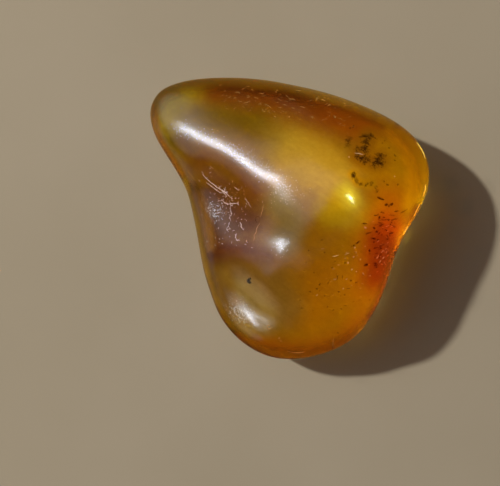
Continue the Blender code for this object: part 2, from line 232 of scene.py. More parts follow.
class Shape:
    """Top and bottom skins over the drawing grid, heights in mm."""

    def __init__(self):
        rim = rim_curve(1440)
        d = rim[:, :2] - HUB
        angle = np.arctan2(d[:, 1], d[:, 0])
        order = np.argsort(angle)
        self.angle, self.reach, self.rise = angle[order], np.hypot(d[:, 0], d[:, 1])[order], rim[order, 2]
        self.bumps = np.array([(x, y) for x in np.arange(130.0, 460.0, FIELD_PITCH)
                               for y in np.arange(60.0, 390.0, FIELD_PITCH)])
        rows, goal = [], []
        for x, y, z, weight in HEIGHTS:
            r, k = self.row(x, y)
            rows.append(weight * r)
            goal.append(weight * (z - k))
        for x, y, right, down, weight in SLOPES:
            weight *= 1.5
            for ex, ey, rise in ((1.0, 0.0, right), (0.0, 1.0, down)):
                r1, k1 = self.row(x + ex, y + ey)
                r0, k0 = self.row(x - ex, y - ey)
                rows.append(weight * (r1 - r0) / 2.0 * GRID)
                goal.append(weight * (rise - (k1 - k0) / 2.0 * GRID))
        g, lam = 10.0, FIELD_STIFFNESS
        for x in range(140, 445, 20):
            for y in range(70, 375, 20):
                mid = self.basis(x, y)
                rows.append(lam * (self.basis(x + g, y) - 2 * mid + self.basis(x - g, y)))
                rows.append(lam * (self.basis(x, y + g) - 2 * mid + self.basis(x, y - g)))
                rows.append(lam * 0.3535 * (self.basis(x + g, y + g) - self.basis(x - g, y + g)
                                            - self.basis(x + g, y - g) + self.basis(x - g, y - g)))
                goal += [0.0, 0.0, 0.0]
        a = np.array(rows)
        self.weights = np.linalg.solve(a.T @ a + 1e-9 * np.eye(a.shape[1]), a.T @ np.array(goal))

    def basis(self, x, y):
        r2 = ((self.bumps - (x, y)) ** 2).sum(1) / FIELD_WIDTH ** 2
        return np.concatenate([np.exp(-r2), [1.0, (x - 300.0) / 100.0, (y - 216.0) / 100.0]])

    def polar(self, x, y):
        dx, dy = x - HUB[0], y - HUB[1]
        a = np.arctan2(dy, dx)
        full = 2.0 * math.pi
        return (np.hypot(dx, dy) / np.interp(a, self.angle, self.reach, period=full),
                np.interp(a, self.angle, self.rise, period=full))

    def row(self, x, y):
        s, h = self.polar(x, y)
        w = math.sqrt(1.0 - min(s, 0.9999) ** TOP_ROUNDING)
        return w * self.basis(x, y), h * (1.0 - w) + w * self.bead(x, y)

    def bead(self, x, y):
        bx, by, width, height = BEAD
        return height * np.exp(-((x - bx) ** 2 + (y - by) ** 2) / width ** 2)

    def field(self, x, y):
        x, y = np.asarray(x, float), np.asarray(y, float)
        out = self.weights[-3] + self.weights[-2] * (x - 300.0) / 100.0 + self.weights[-1] * (y - 216.0) / 100.0
        for (bx, by), w in zip(self.bumps, self.weights):
            out = out + w * np.exp(-((x - bx) ** 2 + (y - by) ** 2) / FIELD_WIDTH ** 2)
        return out + self.bead(x, y)

    def top(self, x, y):
        s, h = self.polar(x, y)
        w = np.sqrt(np.clip(1.0 - np.clip(s, 0.0, 1.0) ** TOP_ROUNDING, 0.0, 1.0))
        return h + (self.field(x, y) - h) * w

    def bottom(self, x, y):
        s, h = self.polar(x, y)
        u = np.clip((s - FLAT_SHARE) / (1.0 - FLAT_SHARE), 0.0, 1.0)
        return h * (1.0 - np.sqrt(1.0 - u ** BOTTOM_ROUNDING))

    def top_normal(self, x, y):
        """Unit normal of the top skin, in grid axes with z up (x right, y down the sheet)."""
        e = 0.4
        gx = (self.top(x + e, y) - self.top(x - e, y)) / (2 * e) * GRID
        gy = (self.top(x, y + e) - self.top(x, y - e)) / (2 * e) * GRID
        n = np.stack([-gx, -gy, np.ones_like(gx)], -1)
        return n / np.linalg.norm(n, axis=-1, keepdims=True)


SHAPE = Shape()


def seen_at(x, y, z):
    """Where a bare point at grid (x, y) and height z mm is seen on the drawing grid."""
    k = (EYE_HEIGHT - EYE_PLANE) / (EYE_HEIGHT - z)
    return EYE_GRID[0] + (x - EYE_GRID[0]) * k, EYE_GRID[1] + (y - EYE_GRID[1]) * k


def sight_line(qx, qy):
    """From a point on the top skin, the sight line inside the amber: start (mm, grid axes) and direction."""
    z = SHAPE.top(qx, qy)
    n = SHAPE.top_normal(qx, qy)
    start = np.stack([qx / GRID, qy / GRID, z], -1)
    eye = np.array((EYE_GRID[0] / GRID, EYE_GRID[1] / GRID, EYE_HEIGHT))
    d = start - eye
    d = d / np.linalg.norm(d, axis=-1, keepdims=True)
    c = -(d * n).sum(-1, keepdims=True)
    r = 1.0 / IOR
    k = np.sqrt(np.clip(1.0 - r * r * (1.0 - c * c), 0.0, None))
    return start, d * r + n * (r * c - k)


def floor_under(px, py):
    """Grid point of the ground seen through the amber at grid place (px, py)."""
    s, d = sight_line(*skin_under(px, py))
    hit = s - d * (s[..., 2] / d[..., 2])[..., None]
    return float(hit[..., 0]) * GRID, float(hit[..., 1]) * GRID


def skin_under(px, py):
    """The point of the top skin seen at grid place (px, py)."""
    px, py = np.asarray(px, float), np.asarray(py, float)
    qx, qy = px.copy(), py.copy()
    for _ in range(12):
        ax, ay = seen_at(qx, qy, SHAPE.top(qx, qy))
        qx, qy = qx + (px - ax), qy + (py - ay)
    return qx, qy


def to_world(p):
    """Grid axes in mm (x right, y down, z up) to metres in the pebble's frame."""
    p = np.asarray(p, float)
    return np.stack([(p[..., 0] - SHEET_MIDDLE[0] / GRID), (SHEET_MIDDLE[1] / GRID - p[..., 1]), p[..., 2]], -1) / 1000.0


class Sight:
    """Sight lines into the amber, kept on a lattice of seen places so that many points are quick to place."""

    def __init__(self, pitch=2.0):
        self.pitch, self.corner = pitch, (144.0, 72.0)
        gx, gy = np.meshgrid(np.arange(144.0, 436.0, pitch), np.arange(72.0, 366.0, pitch), indexing="ij")
        qx, qy = skin_under(gx, gy)
        s = SHAPE.polar(qx, qy)[0]
        pull = np.minimum(1.0, 0.985 / np.maximum(s, 1e-6))
        self.start, self.way = sight_line(HUB[0] + (qx - HUB[0]) * pull, HUB[1] + (qy - HUB[1]) * pull)

    def __call__(self, px, py, depth):
        """World point (metres) `depth` mm down the sight line through grid place (px, py)."""
        u, v = (px - self.corner[0]) / self.pitch, (py - self.corner[1]) / self.pitch
        i, j = int(u), int(v)
        u, v = u - i, v - j
        out = []
        for a in (self.start, self.way):
            out.append((a[i, j] * (1 - u) + a[i + 1, j] * u) * (1 - v) + (a[i, j + 1] * (1 - u) + a[i + 1, j + 1] * u) * v)
        return Vector(to_world(out[0] + out[1] / np.linalg.norm(out[1]) * depth).tolist())


SEALED = Sight()


def brush(px, py, stroke, soft):
    """How far inside a soft stroke each point is: 1 within its radius, 0 from `soft` beyond it."""
    best = np.full(px.shape, -1e9)
    for (x0, y0, r0), (x1, y1, r1) in zip(stroke, stroke[1:]):
        vx, vy = x1 - x0, y1 - y0
        t = np.clip(((px - x0) * vx + (py - y0) * vy) / (vx * vx + vy * vy), 0.0, 1.0)
        gap = np.hypot(px - x0 - vx * t, py - y0 - vy * t) - (r0 + (r1 - r0) * t)
        best = np.maximum(best, 1.0 - gap / soft)
    best = np.clip(best, 0.0, 1.0)
    return best * best * (3.0 - 2.0 * best)


# ============================================================== mesh helpers
def new_object(name, verts, faces, smooth=True):
    me = bpy.data.meshes.new(name)
    me.from_pydata([tuple(v) for v in verts], [], [tuple(f) for f in faces])
    me.update()
    bm = bmesh.new()
    bm.from_mesh(me)
    bmesh.ops.recalc_face_normals(bm, faces=bm.faces)
    bm.to_mesh(me)
    bm.free()
    if smooth:
        me.shade_smooth()
    ob = bpy.data.objects.new(name, me)
    bpy.context.scene.collection.objects.link(ob)
    return ob


class Bits:
    """Gathers many small closed shapes into one mesh. Points are world metres."""

    def __init__(self, seed):
        self.v, self.f = [], []
        self.rnd = random.Random(seed)

    def add(self, verts, faces):
        k = len(self.v)
        self.v += [tuple(v) for v in verts]
        self.f += [tuple(i + k for i in f) for f in faces]

    def rod(self, path, radii, sides=6, flat=1.0, up=Vector((0, 0, 1))):
        """A closed tapering rod along a path; `flat` squeezes it across `up`."""
        path = [Vector(p) for p in path]
        n = len(path)
        rings = []
        for i, p in enumerate(path):
            t = (path[min(i + 1, n - 1)] - path[max(i - 1, 0)]).normalized()
            side = t.cross(up)
            side = side.normalized() if side.length > 1e-6 else t.orthogonal().normalized()
            lift = side.cross(t).normalized()
            r = radii[i]
            rings.append([p + side * (r * math.cos(a)) + lift * (r * flat * math.sin(a))
                          for a in (2 * math.pi * k / sides for k in range(sides))])
        verts = [v for ring in rings for v in ring]
        faces = []
        for i in range(n - 1):
            for k in range(sides):
                j = (k + 1) % sides
                faces.append((i * sides + k, i * sides + j, (i + 1) * sides + j, (i + 1) * sides + k))
        a, b = len(verts), len(verts) + 1
        t0, t1 = (path[0] - path[1]).normalized(), (path[-1] - path[-2]).normalized()
        verts += [path[0] + t0 * radii[0] * 0.8, path[-1] + t1 * radii[-1] * 0.8]
        for k in range(sides):
            j = (k + 1) % sides
            faces.append((a, j, k))
            faces.append((b, (n - 1) * sides + k, (n - 1) * sides + j))
        self.add(verts, faces)

    def clod(self, centre, radii, turn=None, rough=0.3, level=2):
        """A closed irregular lump or flake."""
        bm = bmesh.new()
        bmesh.ops.create_icosphere(bm, subdivisions=level, radius=1.0)
        off = Vector((self.rnd.uniform(-50, 50), self.rnd.uniform(-50, 50), self.rnd.uniform(-50, 50)))
        if turn is None:
            turn = Matrix.Rotation(self.rnd.uniform(0, 6.28), 3, "Z") @ Matrix.Rotation(self.rnd.uniform(-0.6, 0.6), 3, "X")
        verts = []
        for v in bm.verts:
            k = 1.0 + rough * noise.noise(v.co * 1.6 + off) + 0.5 * rough * noise.noise(v.co * 3.7 + off)
            verts.append(Vector(centre) + turn @ Vector((v.co.x * radii[0] * k, v.co.y * radii[1] * k, v.co.z * radii[2] * k)))
        faces = [[v.index for v in f.verts] for f in bm.faces]
        bm.free()
        self.add(verts, faces)

    def fibre(self, points, width, depth, wander=0.35, step=1.6, ends=0.35, sides=5):
        """A thin crooked sliver along seen grid places. Width is in grid units, depth in mm."""
        path, radii = [], []
        run = [0.0]
        for (x0, y0), (x1, y1) in zip(points, points[1:]):
            run.append(run[-1] + math.hypot(x1 - x0, y1 - y0))
        n = max(3, int(run[-1] / step) + 1)
        for k in range(n):
            at = run[-1] * k / (n - 1)
            i = max(j for j in range(len(points) - 1) if run[j] <= at + 1e-9)
            t = (at - run[i]) / max(run[i + 1] - run[i], 1e-9)
            x = points[i][0] + (points[i + 1][0] - points[i][0]) * t
            y = points[i][1] + (points[i + 1][1] - points[i][1]) * t
            sway = wander if 0 < k < n - 1 else 0.3 * wander
            path.append(SEALED(x + self.rnd.uniform(-sway, sway), y + self.rnd.uniform(-sway, sway),
                               depth * (1.0 + self.rnd.uniform(-0.06, 0.06))))
            thick = ends + (1.0 - ends) * math.sin(math.pi * (0.08 + 0.84 * k / (n - 1)))
            radii.append(0.5 * width / GRID / 1000.0 * thick * self.rnd.uniform(0.8, 1.2))
        self.rod(path, radii, sides=sides, flat=0.5)

    def fleck(self, x, y, size, depth, long=1.6, flat=0.45, rough=0.45, level=2):
        """A small flake or grain at a seen grid place. Size is its width in grid units."""
        r = 0.5 * size / GRID / 1000.0
        self.clod(SEALED(x, y, depth), (r * long, r, r * flat), rough=rough, level=level)

    def make(self, name, mat):
        ob = new_object(name, self.v, self.f)
        ob.data.materials.append(mat)
        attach(ob, "root")
        return ob


# ================================================================= materials
def shader_of(mat):
    return mat.node_tree.nodes["Principled BSDF"]


class Nodes:
    """Short hand for building a node tree."""

    def __init__(self, name):
        self.mat = bpy.data.materials.new(name)
        self.mat.use_nodes = True
        self.t = self.mat.node_tree
        self.bsdf = self.t.nodes["Principled BSDF"]
        self.out = self.t.nodes["Material Output"]

    def node(self, kind, **props):
        n = self.t.nodes.new(kind)
        for k, v in props.items():
            setattr(n, k, v)
        return n

    def link(self, a, b):
        self.t.links.new(a, b)

    def place(self):
        return self.node("ShaderNodeTexCoord").outputs["Object"]

    def noise(self, scale, detail=3.0, rough=0.5, vector=None, distortion=0.0):
        n = self.node("ShaderNodeTexNoise")
        n.inputs["Scale"].default_value = scale
        n.inputs["Detail"].default_value = detail
        n.inputs["Roughness"].default_value = rough
        n.inputs["Distortion"].default_value = distortion
        self.link(vector if vector is not None else self.place(), n.inputs["Vector"])
        return n.outputs["Fac"]

    def ramp(self, fac, stops):
        n = self.node("ShaderNodeValToRGB")
        while len(n.color_ramp.elements) < len(stops):
            n.color_ramp.elements.new(0.5)
        for e, (p, c) in zip(n.color_ramp.elements, stops):
            e.position = p
            e.color = c if len(c) == 4 else (*c, 1.0)
        self.link(fac, n.inputs["Fac"])
        return n.outputs["Color"]

    def mix(self, fac, a, b, blend="MIX"):
        n = self.node("ShaderNodeMix", data_type="RGBA", blend_type=blend)
        for sock, val in ((n.inputs["Factor"], fac), (n.inputs["A"], a), (n.inputs["B"], b)):
            if sock.type != "RGBA" and not isinstance(val, (int, float)):
                self.link(val, sock)
            elif isinstance(val, (int, float)):
                sock.default_value = val
            elif isinstance(val, tuple):
                sock.default_value = val if len(val) == 4 else (*val, 1.0)
            else:
                self.link(val, sock)
        return n.outputs["Result"]

    def math(self, op, a, b=None, clamp=False):
        n = self.node("ShaderNodeMath", operation=op, use_clamp=clamp)
        for sock, val in zip(n.inputs, (a, b)):
            if val is None:
                continue
            if isinstance(val, (int, float)):
                sock.default_value = val
            else:
                self.link(val, sock)
        return n.outputs[0]

    def spot(self, place, at, reach):
        """1 at grid point `at`, fading to 0 at `reach` (mm across, mm down, degrees of turn)."""
        x, y = (at[0] - SHEET_MIDDLE[0]) / GRID / 1000.0, (SHEET_MIDDLE[1] - at[1]) / GRID / 1000.0
        go = self.node("ShaderNodeMapping", vector_type="TEXTURE")
        go.inputs["Location"].default_value = (x, y, 0.0)
        go.inputs["Rotation"].default_value = (0.0, 0.0, math.radians(reach[2]))
        go.inputs["Scale"].default_value = (reach[0] / 1000.0, reach[1] / 1000.0, 1.0)
        self.link(place, go.inputs["Vector"])
        length = self.node("ShaderNodeVectorMath", operation="LENGTH")
        self.link(go.outputs[0], length.inputs[0])
        fade = self.node("ShaderNodeMapRange", interpolation_type="SMOOTHERSTEP")
        self.link(length.outputs["Value"], fade.inputs["Value"])
        fade.inputs["From Min"].default_value = 1.0
        fade.inputs["From Max"].default_value = 0.0
        return fade.outputs["Result"]

    def frayed(self, name, fray):
        """A zone's attribute with its edge broken up by noise."""
        zone = self.attribute(name)
        middle = self.math("MULTIPLY", self.math("MULTIPLY", zone, self.math("SUBTRACT", 1.0, zone)), 4.0)
        shift = self.math("MULTIPLY", self.math("MULTIPLY", self.math("SUBTRACT", fray, 0.5), 0.7), middle)
        return self.math("ADD", zone, shift, clamp=True)

    def attribute(self, name):
        return self.node("ShaderNodeAttribute", attribute_name=name).outputs["Fac"]

    def bump(self, height, strength, distance):
        n = self.node("ShaderNodeBump")
        n.inputs["Strength"].default_value = strength
        n.inputs["Distance"].default_value = distance
        self.link(height, n.inputs["Height"])
        self.link(n.outputs["Normal"], self.bsdf.inputs["Normal"])


def amber_material():
    m = Nodes("amber_resin")
    b = m.bsdf
    b.inputs["Transmission Weight"].default_value = 1.0
    b.inputs["IOR"].default_value = IOR
    under = m.attribute("underside")
    fray = m.noise(1500.0, 6.0, 0.65)
    tint_and_glow = RESIN
    # zone tints: the resin's own colours, with painted glow and sheen where the zones say so
    for name, _, _, colour in ZONES:
        tint_and_glow = m.mix(m.frayed("zone_" + name, fray), tint_and_glow, colour)
    grain = m.noise(4200.0, 4.0, 0.65)
    tint_and_glow = m.mix(1.0, tint_and_glow, m.ramp(grain, [(0.30, (0.90, 0.87, 0.84)), (0.70, (1.0, 1.0, 1.0))]), "MULTIPLY")
    turned = m.node("ShaderNodeMapping")
    turned.vector_type = "TEXTURE"
    turned.inputs["Rotation"].default_value = (0.0, 0.0, math.radians(-38.0))
    turned.inputs["Scale"].default_value = (7.0, 1.0, 2.0)
    m.link(m.place(), turned.inputs["Vector"])
    streak = m.noise(3000.0, 5.0, 0.65, turned.outputs["Vector"])
    tint_and_glow = m.mix(1.0, tint_and_glow, m.ramp(streak, [(0.34, (0.915, 0.90, 0.87)), (0.66, (1.0, 1.0, 1.0))]), "MULTIPLY")
    once = m.node("ShaderNodeGamma")
    m.link(tint_and_glow, once.inputs["Color"])
    once.inputs["Gamma"].default_value = 2.0
    m.link(m.mix(under, once.outputs["Color"], (0.96, 0.93, 0.86)), b.inputs["Base Color"])
    m.link(m.mix(under, (0.20, 0.20, 0.20), (0.45, 0.45, 0.45)), b.inputs["Roughness"])
    m.bump(m.noise(12000.0, 3.0, 0.6), 0.36, 0.00002)
    vol = m.node("ShaderNodeVolumeAbsorption")
    vol.inputs["Color"].default_value = (0.970, 0.860, 0.45, 1.0)
    vol.inputs["Density"].default_value = 500.0
    m.link(vol.outputs["Volume"], m.out.inputs["Volume"])
    return m.mat


def mote_material(name, dark, light, glow=0.0, scale=9000.0, rough=0.75):
    """Something sealed in the resin: mottled, and with `glow` a painted glow that stands in for the sunlight it
    catches.
    """
    m = Nodes(name)
    colour = m.ramp(m.noise(scale, 3.0, 0.6), [(0.35, dark), (0.65, light)])
    m.link(colour, m.bsdf.inputs["Base Color"])
    m.link(m.math("ADD", m.math("MULTIPLY", m.noise(scale * 0.5, 2.0), 0.25), rough - 0.12), m.bsdf.inputs["Roughness"])
    # painted light: the emission stands in for lamp light that the piece catches
    if glow:
        m.link(colour, m.bsdf.inputs["Emission Color"])
        m.bsdf.inputs["Emission Strength"].default_value = glow
    m.bump(m.noise(scale * 1.5, 3.0), 0.4, 0.00001)
    return m.mat


# ==================================================================== pieces
def bridge(few, many, faces):
    """Joins two closed rings of vertex numbers, the same length or one twice the other."""
    if len(few) > len(many):
        few, many = many, few
    for i in range(len(few)):
        v, w = few[i], few[i - 1]
        if len(few) == len(many):
            faces.append((w, v, many[i], many[i - 1]))
        else:
            a, mid, b = many[2 * i - 2], many[2 * i - 1], many[2 * i]
            faces += [(w, a, mid), (w, mid, v), (v, mid, b)]


def amber_mesh():
    rim = rim_curve(MERIDIANS)
    top_rings, low_rings, flat_rings = 96, 46, 16
    verts, levels = [], []

    def ring(points):
        levels.append(list(range(len(verts), len(verts) + len(points))))
        verts.extend(points)

    for i in range(1, top_rings + 1):
        share = math.sin(0.5 * math.pi * i / top_rings)
        w = math.sqrt(max(0.0, 1.0 - share ** TOP_ROUNDING))
        thin = 16 if i <= 3 else 8 if i <= 8 else 4 if i <= 16 else 2 if i <= 34 else 1
        r = rim[::thin]
        q = HUB + share * (r[:, :2] - HUB)
        z = r[:, 2] + (SHAPE.field(q[:, 0], q[:, 1]) - r[:, 2]) * w
        ring(np.column_stack([q / GRID, z]).tolist())
    for i in range(low_rings - 1, -1, -1):
        turn = math.sin(0.5 * math.pi * i / low_rings)
        share = FLAT_SHARE + (1.0 - FLAT_SHARE) * turn
        q = HUB + share * (rim[:, :2] - HUB)
        z = rim[:, 2] * (1.0 - math.sqrt(max(0.0, 1.0 - turn ** BOTTOM_ROUNDING)))
        ring(np.column_stack([q / GRID, z]).tolist())
    for k in range(1, flat_rings):
        share = FLAT_SHARE * (1.0 - k / flat_rings)
        left = flat_rings - k
        thin = 16 if left <= 1 else 8 if left <= 3 else 4 if left <= 6 else 2
        q = HUB + share * (rim[::thin, :2] - HUB)
        ring(np.column_stack([q / GRID, np.zeros(len(q))]).tolist())
    crown, sole = len(verts), len(verts) + 1
    verts.append([*(HUB / GRID), float(SHAPE.field(*HUB))])
    verts.append([*(HUB / GRID), 0.0])

    faces = []
    for pole, lv in ((crown, levels[0]), (sole, levels[-1])):
        for i in range(len(lv)):
            faces.append((pole, lv[i - 1], lv[i]))
    for one, other in zip(levels, levels[1:]):
        bridge(one, other, faces)
    return np.array(verts), faces


def build_amber():
    verts, faces = amber_mesh()
    world = to_world(verts)
    lo, hi = (np.array(c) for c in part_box("amber"))
    mid = (lo + hi) / 2
    own = (world.min(0) + world.max(0)) / 2
    world[:, :2] += (mid - own)[:2]
    world[:, :2] = mid[:2] + (world[:, :2] - mid[:2]) * 0.9985
    world[:, 2] *= 0.9985
    ob = new_object("amber_pebble", world.tolist(), faces)
    under = ob.data.attributes.new("underside", "FLOAT", "POINT")
    height = SHAPE.polar(verts[:, 0] * GRID, verts[:, 1] * GRID)[1]
    low = np.clip((height - verts[:, 2]) / 0.5, 0.0, 1.0)
    under.data.foreach_set("value", (low * low * (3.0 - 2.0 * low)).astype(np.float32))
    x, y = verts[:, 0] * GRID, verts[:, 1] * GRID
    px, py = seen_at(x, y, verts[:, 2])
    for name, stroke, soft, _ in ZONES:
        zone = ob.data.attributes.new("zone_" + name, "FLOAT", "POINT")
        zone.data.foreach_set("value", brush(px, py, stroke, soft).astype(np.float32))
    ob.data.materials.append(amber_material())
    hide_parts("amber")
    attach(ob, "root")
    return ob


def debris_cluster():
    """Brown feathery crumbs and broken hairs in the wide end."""
    b = Bits(3)
    u = b.rnd.uniform

    def crumbs(spots, size, depth, spread, count):
        for x, y in spots:
            for _ in range(count):
                b.fleck(x + u(-spread, spread), y + u(-spread, spread), size * u(0.5, 1.2), depth * u(0.9, 1.1), long=u(1.0, 2.2))

    def feather(spine, barb, width, depth, count, lean=0.0):
        """A crooked stem with many fine barbs off both of its sides."""
        b.fibre(spine, width * 1.3, depth, wander=0.5)
        for _ in range(count):
            i = b.rnd.randrange(len(spine) - 1)
            t = u(0.0, 1.0)
            (x0, y0), (x1, y1) = spine[i], spine[i + 1]
            x, y = x0 + (x1 - x0) * t + u(-0.8, 0.8), y0 + (y1 - y0) * t + u(-0.8, 0.8)
            a = math.atan2(y1 - y0, x1 - x0) + b.rnd.choice((-1.0, 1.0)) * u(0.7, 1.6) + lean
            l, bend = barb * u(0.35, 1.2), u(-0.9, 0.9)
            b.fibre([(x, y), (x + 0.5 * l * math.cos(a) - bend * math.sin(a), y + 0.5 * l * math.sin(a) + bend * math.cos(a)),
                     (x + l * math.cos(a), y + l * math.sin(a))], width * u(0.6, 1.1), depth * u(0.9, 1.12), wander=0.25)

    feather([(368.5, 134), (366.5, 139), (365.0, 145), (363, 151)], 5.6, 0.64, 0.9, 60)
    feather([(358, 137), (363, 136), (370, 135.5), (376, 138)], 3.2, 0.50, 0.9, 30)
    feather([(355, 156), (360, 156.6), (365, 158), (370, 159.5)], 4.4, 0.62, 0.9, 46)
    feather([(360, 157), (363, 160.5), (365, 163)], 3.4, 0.62, 0.9, 20)
    feather([(382, 152.5), (379.5, 157), (377.5, 161), (374, 167)], 5.0, 0.62, 0.9, 50)
    feather([(372, 162), (377, 163.5), (384, 164)], 4.2, 0.60, 0.9, 30)
    feather([(350, 136), (348.6, 141), (346.5, 147)], 3.8, 0.50, 0.8, 32)
    feather([(357, 146), (356, 150), (357.5, 154)], 3.0, 0.55, 1.1, 14)
    feather([(354.5, 171), (353.2, 176), (355, 180)], 3.2, 0.60, 1.2, 22)
    for x, y, count in ((357, 182, 9), (361, 183.6, 10), (366, 184.2, 10), (371, 183.4, 9), (375.4, 187, 7), (376.6, 191, 5), (384, 181, 5)):
        feather([(x - 0.7, y - 0.5), (x + 0.6, y + 0.5)], 2.6, 0.55, 1.2, count)
    crumbs([(367.5, 142), (367, 146), (365.5, 149.5), (364, 146)], 1.5, 1.15, 1.2, 3)
    crumbs([(357, 156), (361, 158), (365.5, 160)], 1.3, 1.15, 1.2, 3)
    crumbs([(379, 155), (377, 160), (381, 164), (375, 165)], 1.3, 1.1, 1.4, 3)
    crumbs([(353, 176.5)], 2.4, 1.3, 0.7, 4)
    crumbs([(348, 141), (371, 135), (356, 181), (372.5, 182.6), (387.7, 183.5)], 1.2, 1.1, 0.9, 2)
    crumbs([(385, 141), (382, 143.5), (390, 148), (385.5, 155), (395, 160), (420, 165), (387.5, 185), (395, 155), (398, 184), (350, 128), (354, 126)], 1.2, 0.8, 0.8, 2)
    # the crumbs and hairs glow a little: painted light for the sunlight they catch
    b.make("debris_cluster", mote_material("debris_brown", (0.040, 0.020, 0.005), (0.125, 0.068, 0.015), 0.8))

    p = Bits(5)
    p.fibre([(354.6, 153.0), (358.4, 153.4), (363.4, 154.8)], 0.50, -0.003, wander=0.15)
    p.fleck(345, 125, 1.2, 0.6)
    p.fleck(349, 157, 1.2, -0.002, long=1.1)
    p.fleck(394.6, 176.5, 1.0, -0.002, long=1.1)
    p.make("pale_fibre", mote_material("fibre_pale", (0.62, 0.48, 0.28), (0.86, 0.74, 0.50)))


def stain():
    """Dark red needles and bright stress marks in the rust-red patch."""
    b = Bits(7)
    u = b.rnd.uniform
    b.fibre([(377.4, 197.0), (380.6, 198.6), (384.0, 199.8)], 1.9, 0.8, wander=0.1, ends=0.5)
    for pts in ([(394.4, 211.4), (398.6, 211.0)], [(400.5, 213.2), (404.0, 211.4), (407.8, 209.0)],
                [(374.0, 215.3), (377.0, 215.4)], [(362.0, 223.5), (367.0, 223.3)],
                [(391.5, 220.2), (395.0, 219.2), (398.4, 218.7)], [(389.2, 233.8), (393.9, 232.9)],
                [(383.5, 220.0), (388.0, 219.4)], [(379.0, 226.0), (383.0, 225.0)], [(366.0, 234.0), (372.0, 231.8)],
                [(371.0, 238.0), (376.0, 239.2)], [(384.5, 229.5), (388.4, 231.0)], [(378.0, 235.0), (380.5, 231.8)],
                [(392.0, 225.8), (395.5, 227.2)], [(356.0, 244.0), (359.5, 241.0)], [(352.0, 246.8), (355.0, 244.6)],
                [(386.0, 240.5), (389.0, 238.6)]):
        b.fibre(pts, u(0.9, 1.25), u(0.6, 1.0), wander=0.2)
    for x, y, d in ((386.4, 204.7, 2.3), (391.7, 204.2, 2.4), (389.0, 206.0, 1.4), (379.5, 218, 1.5), (384, 217.6, 1.3),
                    (388.7, 220, 1.6), (390.6, 224.4, 1.5), (381, 225.6, 1.4), (374, 228, 1.8), (383, 228.7, 1.2), (400, 235, 1.4),
                    (387, 235.5, 1.2), (382, 235, 1.3), (378, 240, 1.6), (374, 242, 1.3), (388, 247, 1.3), (369.5, 250.7, 1.7),
                    (366.6, 264.5, 2.3), (364.8, 265.5, 1.4)):
        b.fleck(x, y, d, u(0.6, 1.0), long=u(1.2, 1.9))
    for _ in range(46):
        t, w = u(0.0, 1.0), u(-1.0, 1.0)
        x, y = 387.0 - 8.0 * t + 11.0 * w * (1.0 - 0.5 * t), 212.0 + 56.0 * t
        if b.rnd.random() < 0.6:
            a, l = u(-0.5, 0.5), u(1.2, 2.6)
            b.fibre([(x - l * math.cos(a), y - l * math.sin(a)), (x + l * math.cos(a), y + l * math.sin(a))], u(0.6, 0.9), u(0.7, 1.3))
        else:
            b.fleck(x, y, u(0.8, 1.4), u(0.7, 1.3))
    b.make("stain_needles", mote_material("rust_dark", (0.085, 0.012, 0.003), (0.200, 0.040, 0.007)))

    f = Bits(11)
    u = f.rnd.uniform
    f.fleck(365.5, 227.7, 1.6, 0.01, long=1.3)
    f.fibre([(364.0, 226.5), (366.0, 228.5)], 0.8, 0.0)
    for pts in ([(381.5, 252.6), (383.0, 250.8), (384.6, 252.0)], [(386.0, 253.0), (387.0, 251.4)], [(392.6, 251.4), (394.2, 250.2)],
                [(378.5, 255.0), (377.8, 257.0), (376.6, 258.8)], [(387.4, 256.4), (388.8, 255.0)], [(389.2, 262.0), (390.2, 259.6)],
                [(384.2, 261.4), (385.2, 264.0), (386.3, 265.6)], [(382.6, 258.8), (384.4, 256.8)], [(379.4, 262.6), (381.0, 260.4)],
                [(391.2, 257.6), (392.6, 255.8)]):
        f.fibre(pts, u(0.6, 0.9), 0.0, wander=0.3)
    for _ in range(34):
        x, y, a, l = 383.0 + b.rnd.gauss(0.0, 6.0), 248.0 + b.rnd.gauss(0.0, 13.0), u(-1.4, 0.6), u(0.7, 1.7)
        f.fibre([(x - l * math.cos(a), y - l * math.sin(a)), (x + l * math.cos(a), y + l * math.sin(a))], u(0.22, 0.45), u(0.0, 0.03), wander=0.2)
    f.make("stain_flecks", mote_material("stress_bright", (0.42, 0.14, 0.04), (0.78, 0.38, 0.17)))


